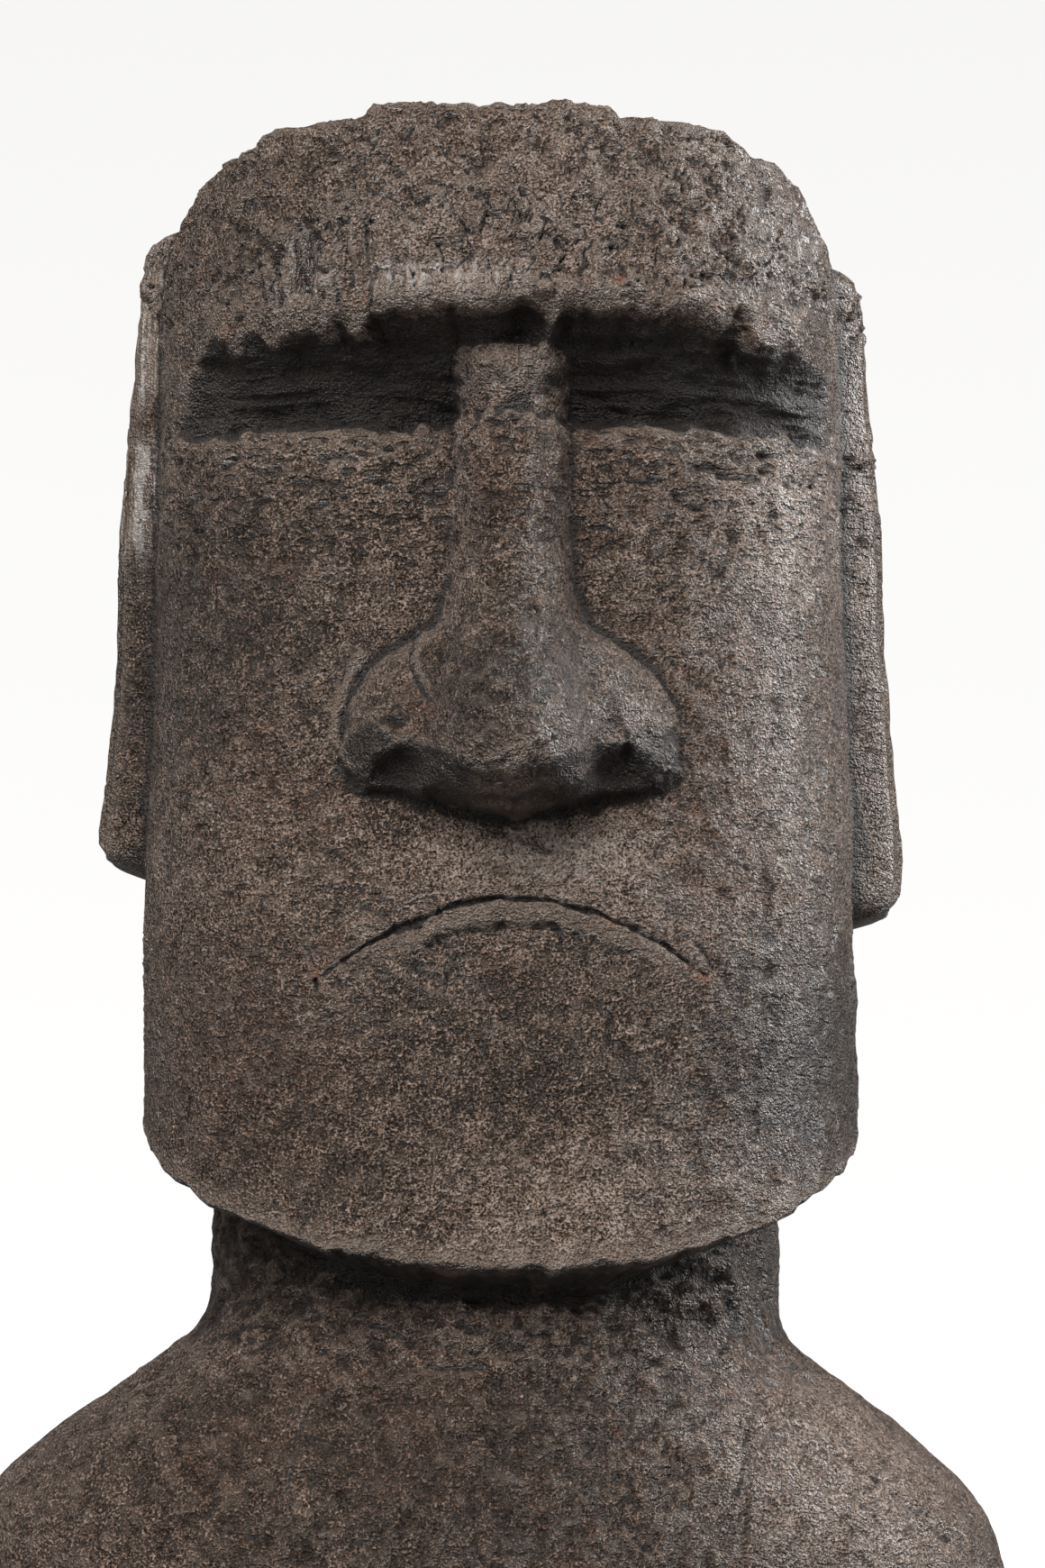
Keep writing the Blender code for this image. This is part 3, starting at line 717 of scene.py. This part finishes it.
def shade_to_paint(points, normals, traits, fine, broad):
    """How dark the coat is painted as shade, from 0 to 1: in hollows, under edges and at the ears' joints; in
    the eye hollows it is partly their dark patina.
    """
    x = points[..., 0]
    z = points[..., 2]
    nose_skin = traits["nose skin"]
    down = ease((-normals[..., 2] - 0.05) / 0.45)
    under_jaw = (1 - traits["head"]) * ease((z - 0.17) / 0.06)
    jaw_foot = bump((traits["head"] - 0.45) / 0.45) * (z < 0.30)
    side = np.abs(x / BUST_HEIGHT - NOSE_X)
    wing = nose_skin * bump((side - 0.088) / 0.034) * bump((z / BUST_HEIGHT - 0.578) / 0.040)
    off_middle = 0.30 + 0.60 * ease((side - 0.012) / 0.030)
    patchy = 1 + 0.55 * rough(points, 0.010, 111, 3)
    # Painted shade: the eye hollows (partly their dark patina), nostrils, ears' joints, the mouth's groove, a
    # painted shadow under the nose and beside its wings, faces turned down, under the jaw and at its step.
    dark = np.maximum.reduce([
        1.10 * traits["hollow"] * (1 - nose_skin * (z < 0.668)),
        traits["nostril"],
        0.60 * traits["joint"],
        0.45 * traits["groove"],
        0.80 * traits["foot"] * nose_skin * off_middle,
        0.65 * wing,
        down * np.maximum(nose_skin * off_middle, traits["head"] * 0.6 * (z < 0.30)),
        0.40 * under_jaw,
        0.85 * jaw_foot,
    ])
    # Painted shade in concave places, less over the mouth's lip.
    hollows = 2.2 * np.clip(fine - 0.03, 0.0, 0.4) + 1.4 * np.clip(broad - 0.03, 0.0, 0.4)
    return np.clip(dark * patchy + hollows * (1 - 0.8 * traits["lip"]), 0.0, 1.0)


def coat_shades(points, normals, traits):
    """What the material reads at each point: painted shade, wear and painted highlights, stains with painted
    shade, where the coat is sleek, pitted, flaky or tinted, and mottle with painted light and shade.
    """
    front = ease(-normals[..., 1] * 2.5)
    x = points[..., 0]
    z = points[..., 2]
    fine = bend(points, normals, 2)
    broad = bend(points, normals, 7)
    torso = 1 - traits["head"]
    under_jaw = torso * ease((z - 0.17) / 0.06)

    # Paler on convex edges as wear and on the mouth's lip; painted highlights on the brow's lip band, the
    # left ear's strips and the raised lines.
    lip_edge = front * bump((z - 0.692) / 0.012) * (1 - traits["hollow"])
    spotty = np.clip(0.6 + 1.6 * rough(points, 0.0080, 161, 2), 0.0, 1.6)
    wear_and_highlight = np.clip(-2.2 * fine - 1.4 * broad, 0.0, 1.0) + 1.40 * traits["lip"] + 0.60 * lip_edge * spotty
    strips = np.clip(0.5 + 2.0 * rough(points, 0.024, 171, 3), 0.0, 1.5)
    left_ear = traits["ear"] * (x < 0) * ease((z - 0.550) / 0.04 + 0.4 * (strips - 1))
    left_ear = left_ear * (1 - bump((z - 0.652) / 0.018))
    wear_and_highlight += 0.8 * left_ear * strips
    for line, reach, rise in LINES:
        if rise > 0:
            wear_and_highlight += front * bump(from_line(x, z, line) / (1.5 * reach))

    # Sleek places are smoother and glossier, and get a painted sheen: the left ear's strips, the brow's lip,
    # the forehead's right corner and the folds left on the brow.
    brow_lip = front * bump((z - 0.697) / 0.016) * ease((x + 0.066) / 0.004) * ease((0.030 - x) / 0.03)
    corner = front * bump((x - 0.150) / 0.030) * bump((z - 0.732) / 0.045)
    left_folds = front * bump((x + 0.088) / 0.034) * bump((z - 0.702) / 0.036)
    sleek = left_ear + brow_lip + 0.6 * corner + 0.9 * left_folds * strips + 0.3 * traits["hollow"]
    sleek = np.clip(sleek, 0.0, 1.0)

    below_eyes = front * ease((z - 0.555) / 0.04) * ease((0.645 - z) / 0.01)
    pitted = np.clip(0.45 + below_eyes + 0.8 * under_jaw, 0.0, 1.0) * (1 - sleek)
    top = traits["head"] * ease((z - 0.685) / 0.015)
    scaly = (0.9 * top + 0.6 * below_eyes + 0.5 * torso) * (1 - traits["nose"]) * (1 - sleek)
    scaly = np.clip(scaly, 0.35, 1.0) * ease(rough(points, 0.020, 121, 3) * 3 + 0.5 + 0.5 * top)

    # Random stains, with painted shade under the jaw and at the right jaw's corner, and more over the torso.
    jaw_corner = bump((x - 0.165) / 0.05) * bump((z - 0.30) / 0.09)
    stain_and_shade = 0.4 * ease(rough(points, 0.030, 131, 4) * 2.5 - 0.2) + 0.5 * under_jaw + 0.4 * jaw_corner
    jaw_left = bump(np.hypot(x + 0.14, z - 0.32) / 0.11)
    tint = ease(rough(points, 0.040, 141, 4) * 3.0 - 0.1) + 0.9 * jaw_left
    rust = np.zeros_like(x)
    for spot_x, spot_z, reach in RUSTY:
        rust = np.maximum(rust, front * bump(np.hypot(x - spot_x, z - spot_z) / reach))
    # Painted light and shade in round patches, added to the random mottle.
    light_and_shade_patches = np.zeros_like(x)
    for spot_x, spot_z, reach, amount in PAINTED_LIGHT_AND_SHADE:
        light_and_shade_patches += front * amount * bump(np.hypot(x - spot_x, z - spot_z) / (1.5 * reach))
    return {
        "painted_shade": shade_to_paint(points, normals, traits, fine, broad),
        "wear_and_highlight": np.clip(wear_and_highlight, 0.0, 1.0),
        "rust": rust,
        "sleek": sleek,
        "pitted": pitted,
        "scaly": scaly,
        "stain_and_shade": np.clip(stain_and_shade + 0.35 * torso, 0.0, 1.0),
        "tint": np.clip(tint + 0.30 * torso, 0.0, 1.0),
        "mottle_and_painted_light": rough(points, 0.007, 151, 2) * 0.8 + light_and_shade_patches,
    }


def thin_out(mesh, low, high):
    """A copy of the mesh with fewer triangles, kept just inside the box from low to high."""
    skin_object = bpy.data.objects.new("fine_skin", mesh)
    bpy.context.scene.collection.objects.link(skin_object)
    mesh.calc_loop_triangles()
    thinning = skin_object.modifiers.new("Thin out", "DECIMATE")
    thinning.ratio = TRIANGLES / len(mesh.loop_triangles)
    thinning.use_collapse_triangulate = True
    graph = bpy.context.evaluated_depsgraph_get()
    thinned = bpy.data.meshes.new_from_object(skin_object.evaluated_get(graph))
    bpy.data.objects.remove(skin_object, do_unlink=True)
    bpy.data.meshes.remove(mesh)
    places = np.empty(3 * len(thinned.vertices), np.float32)
    thinned.vertices.foreach_get("co", places)
    places = np.clip(places.reshape(-1, 3), low + 1e-6, high - 1e-6)
    thinned.vertices.foreach_set("co", places.reshape(-1))
    return thinned


def build_bust():
    """The detailed bust as one closed mesh, inside the box of its solid, with what its material reads."""
    form, traits = skin_grid()
    normals = normals_of(form)
    points = form + normals * relief(form, normals, traits)[..., None]
    low, high = (np.array(corner) for corner in cad_box)
    points = np.clip(points, low, high)
    points[0, :, 2] = low[2]
    mesh = grid_mesh(points)
    for name, values in coat_shades(points, normals_of(points), traits).items():
        attribute = mesh.attributes.new(name, "FLOAT", "POINT")
        attribute.data.foreach_set("value", np.append(values.reshape(-1), [0.0, 0.0]))
    thinned = thin_out(mesh, low, high)
    thinned.name = "carved_bust"
    thinned.polygons.foreach_set("use_smooth", np.ones(len(thinned.polygons), bool))
    bust = bpy.data.objects.new("carved_bust", thinned)
    bpy.context.scene.collection.objects.link(bust)
    return bust


class Shader:
    """Short ways to add nodes to a material and to link them."""

    def __init__(self, name):
        self.material = bpy.data.materials.new(name)
        self.material.use_nodes = True
        self.tree = self.material.node_tree
        self.surface = self.tree.nodes["Principled BSDF"]
        self.place = self.tree.nodes.new("ShaderNodeTexCoord").outputs["Object"]

    def join(self, value, socket):
        if isinstance(value, bpy.types.NodeSocket):
            self.tree.links.new(value, socket)
        else:
            socket.default_value = value

    def add(self, kind, inputs, **settings):
        node = self.tree.nodes.new(kind)
        for name, value in settings.items():
            setattr(node, name, value)
        for name, value in inputs.items():
            self.join(value, node.inputs[name])
        return node

    def noise(self, scale, detail=2.0, roughness=0.5, place=None):
        inputs = {"Vector": place or self.place, "Scale": scale, "Detail": detail, "Roughness": roughness}
        return self.add("ShaderNodeTexNoise", inputs).outputs["Fac"]

    def stretched(self, scale):
        return self.add("ShaderNodeMapping", {"Vector": self.place, "Scale": scale}).outputs["Vector"]

    def ramp(self, value, low, high, start=0.0, end=1.0):
        inputs = {"Value": value, "From Min": low, "From Max": high, "To Min": start, "To Max": end}
        return self.add("ShaderNodeMapRange", inputs, interpolation_type="SMOOTHSTEP").outputs["Result"]

    def math(self, operation, first, second=0.0, clamp=False):
        node = self.add("ShaderNodeMath", {0: first, 1: second}, operation=operation, use_clamp=clamp)
        return node.outputs[0]

    def total(self, parts):
        """The sum of some values, each times its own factor."""
        result = 0.0
        for factor, value in parts:
            node = self.add("ShaderNodeMath", {0: value, 1: factor, 2: result}, operation="MULTIPLY_ADD")
            result = node.outputs[0]
        return result

    def mix(self, share, first, second):
        return self.add("ShaderNodeMix", {0: share, 6: first, 7: second}, data_type="RGBA").outputs[2]

    def attribute(self, name):
        return self.add("ShaderNodeAttribute", {}, attribute_name=name).outputs["Fac"]


def stone_material():
    """Dark stone-effect coat: grain, clumps, thin seams and a satin sheen, with painted shade in hollows,
    seams and pits, painted glints on the tips and a painted sheen on sleek places.
    """
    make = Shader("dark_stone")
    # Painted shade: how dark the coat is painted where shade falls.
    painted_shade = make.attribute("painted_shade")
    sleek = make.attribute("sleek")
    scaly = make.attribute("scaly")
    grain = make.noise(860.0, 2.0, 0.62)
    clumps = make.noise(430.0, 2.0, 0.60)
    curls = make.noise(88.0, 3.0, 0.52)
    brushed = make.noise(1.0, 2.0, 0.60, make.stretched((230.0, 230.0, 20.0)))
    strokes = make.noise(1.0, 2.0, 0.60, make.stretched((26.0, 26.0, 400.0)))
    pits = make.ramp(make.noise(1.0, 1.0, 0.50, make.stretched((105.0, 105.0, 290.0))), 0.44, 0.35)
    pits = make.math("MULTIPLY", pits, make.attribute("pitted"))
    terrace = make.math("MULTIPLY", make.ramp(curls, 0.488, 0.512), scaly)
    from_seam = make.math("ABSOLUTE", make.math("SUBTRACT", curls, 0.482))
    seams = make.math("MULTIPLY", make.ramp(from_seam, 0.022, 0.006), scaly)

    rough_part = make.total(((2.4, grain), (3.4, clumps)))
    rough_part = make.math("MULTIPLY", rough_part, make.ramp(sleek, 0.0, 1.0, 1.0, 0.40))
    height = make.total((
        (1.0, rough_part), (1.6, terrace), (-2.4, seams), (-2.2, pits), (0.5, brushed),
        (3.6, make.math("MULTIPLY", sleek, brushed)), (1.8, make.math("MULTIPLY", painted_shade, strokes)),
    ))

    # The tone takes in the mottle, with painted light and shade in round patches.
    tone = make.total(((0.95, grain), (0.45, clumps), (0.13, make.attribute("mottle_and_painted_light"))))
    colour = make.mix(make.ramp(tone, 0.60, 0.83), GRAIN_DARK, GRAIN_PALE)
    # Stains, partly painted shade under the jaw and at its right corner.
    stain_and_shade = make.math("MULTIPLY", make.attribute("stain_and_shade"), make.ramp(tone, 0.86, 0.60, 0.20, 0.75))
    colour = make.mix(stain_and_shade, colour, STAIN_AND_SHADE)
    tint = make.math("MULTIPLY", make.attribute("tint"), make.ramp(tone, 0.60, 0.82, 0.10, 0.50))
    colour = make.mix(tint, colour, BROWN_TINT)
    colour = make.mix(make.ramp(brushed, 0.56, 0.74, 0.0, 0.30), colour, BRUSHED_STREAK)
    fleck = make.math("MULTIPLY", make.ramp(make.noise(330.0, 1.0), 0.66, 0.74), make.attribute("tint"))
    colour = make.mix(make.math("MULTIPLY", fleck, 0.6), colour, FILLER)
    # Painted glints on the grain's highest tips, partly dry-brushed paler tips.
    tip_glints = make.math("MULTIPLY", make.ramp(tone, 0.79, 0.91), 0.80)
    colour = make.mix(tip_glints, colour, TIP_GLINT)
    # Painted shade in the seams and pits, and a little darker on the sleek places.
    dark = make.total(((0.90, seams), (0.90, pits), (0.30, sleek)))
    colour = make.mix(make.math("MINIMUM", dark, 0.9), colour, SEAM_SHADE)
    # Wear, and painted highlights on the brow's lip, the left ear and the raised lines.
    wear_and_highlight = make.math("MULTIPLY", make.attribute("wear_and_highlight"), 0.70, clamp=True)
    colour = make.mix(wear_and_highlight, colour, WEAR_AND_HIGHLIGHT)
    # Painted sheen: pale brushed streaks on the sleek places where a highlight falls.
    painted_sheen = make.math("MULTIPLY", sleek, make.ramp(brushed, 0.50, 0.62, 0.0, 0.60))
    colour = make.mix(painted_sheen, colour, PAINTED_SHEEN)
    # Painted shade: near-black painted over the hollows and under edges, with a ragged edge from the noise.
    edge = make.total(((1.0, painted_shade), (1.2, curls), (0.7, clumps)))
    shaded = make.math("MULTIPLY", make.ramp(edge, 1.22, 1.62), 0.95)
    colour = make.mix(shaded, colour, SHADE_COLOUR)
    rust = make.math("MULTIPLY", make.attribute("rust"), make.ramp(tone, 0.60, 0.80))
    colour = make.mix(rust, colour, FILLER)
    make.join(colour, make.surface.inputs["Base Color"])

    gloss = make.total(((0.24, clumps), (0.30, painted_shade), (-0.08, sleek)))
    make.join(make.math("ADD", gloss, 0.12, clamp=True), make.surface.inputs["Roughness"])
    make.surface.inputs["Specular IOR Level"].default_value = 0.75

    relief_normal = make.add("ShaderNodeBump", {"Height": height, "Strength": 1.0, "Distance": 0.001})
    make.join(relief_normal.outputs["Normal"], make.surface.inputs["Normal"])
    return make.material


def floor_material():
    """A plain pale floor that throws little light up at the bust."""
    make = Shader("pale_floor")
    seen = make.add("ShaderNodeLightPath", {}).outputs["Is Camera Ray"]
    colour = make.mix(seen, (0.12, 0.117, 0.113, 1), (0.84, 0.835, 0.83, 1))
    make.join(colour, make.surface.inputs["Base Color"])
    make.surface.inputs["Emission Color"].default_value = (1.0, 0.997, 0.993, 1)
    make.join(make.math("MULTIPLY", seen, 0.42), make.surface.inputs["Emission Strength"])
    make.surface.inputs["Roughness"].default_value = 0.9
    make.surface.inputs["Specular IOR Level"].default_value = 0.1
    return make.material


def add_floor():
    half = 40.0
    mesh = bpy.data.meshes.new("floor")
    corners = [(-half, -half, 0.0), (half, -half, 0.0), (half, half, 0.0), (-half, half, 0.0)]
    mesh.from_pydata(corners, [], [(0, 1, 2, 3)])
    mesh.materials.append(floor_material())
    floor = bpy.data.objects.new("floor", mesh)
    bpy.context.scene.collection.objects.link(floor)


def add_light(name, kind, location, power, aim=(0.0, 0.0, 0.45), **settings):
    data = bpy.data.lights.new(name, kind)
    data.energy = power
    for setting, value in settings.items():
        setattr(data, setting, value)
    light = bpy.data.objects.new(name, data)
    bpy.context.scene.collection.objects.link(light)
    light.location = location
    light.rotation_euler = (Vector(aim) - Vector(location)).to_track_quat("-Z", "Y").to_euler()


def add_surroundings():
    """A near-white surround, a little less bright high up, that lights the bust less than it shows."""
    world = bpy.data.worlds.new("studio")
    bpy.context.scene.world = world
    world.use_nodes = True
    tree = world.node_tree
    background = tree.nodes["Background"]
    colour = tree.nodes.new("ShaderNodeMix")
    colour.data_type = "RGBA"
    colour.inputs[6].default_value = (1.0, 0.88, 0.78, 1.0)
    colour.inputs[7].default_value = (1.0, 0.993, 0.984, 1.0)
    way = tree.nodes.new("ShaderNodeTexCoord")
    split = tree.nodes.new("ShaderNodeSeparateXYZ")
    shade = tree.nodes.new("ShaderNodeMapRange")
    path = tree.nodes.new("ShaderNodeLightPath")
    strength = tree.nodes.new("ShaderNodeMapRange")
    shade.inputs["From Min"].default_value = 0.02
    shade.inputs["From Max"].default_value = 0.28
    shade.inputs["To Min"].default_value = 1.02
    shade.inputs["To Max"].default_value = 0.93
    strength.inputs["To Min"].default_value = 0.08
    tree.links.new(way.outputs["Generated"], split.inputs["Vector"])
    tree.links.new(split.outputs["Z"], shade.inputs["Value"])
    tree.links.new(shade.outputs["Result"], strength.inputs["To Max"])
    tree.links.new(path.outputs["Is Camera Ray"], colour.inputs[0])
    tree.links.new(colour.outputs[2], background.inputs["Color"])
    tree.links.new(path.outputs["Is Camera Ray"], strength.inputs["Value"])
    tree.links.new(strength.outputs["Result"], background.inputs["Strength"])


def add_camera():
    """Level with the shoulders, looking up a little, as far away as a long lens wants."""
    data = bpy.data.cameras.new("camera")
    data.sensor_width = 36.0
    data.lens = 36.0 * 5100 / 1740
    camera = bpy.data.objects.new("camera", data)
    bpy.context.scene.collection.objects.link(camera)
    camera.location = (0.0115, -2.36, 0.176)
    camera.rotation_euler = (math.radians(90 + 7.04), 0.0, 0.0)
    bpy.context.scene.camera = camera


bust = build_bust()
bust.data.materials.append(stone_material())
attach(bust, "root")
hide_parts("moai_bust")
add_floor()
add_surroundings()
add_light("key", "SUN", (-0.6, -2.4, 2.7), 4.5, angle=math.radians(38))
add_light("right_side", "AREA", (1.75, 0.45, 1.40), 58.0, shape="RECTANGLE", size=1.1, size_y=1.3)
add_light("right_front", "AREA", (1.80, -1.60, 1.30), 10.0, shape="RECTANGLE", size=0.5, size_y=0.9)
add_light("left_front", "AREA", (-1.90, -1.40, 1.10), 17.0, shape="RECTANGLE", size=0.4, size_y=1.6)
add_camera()
bpy.context.scene.view_settings.view_transform = "Standard"
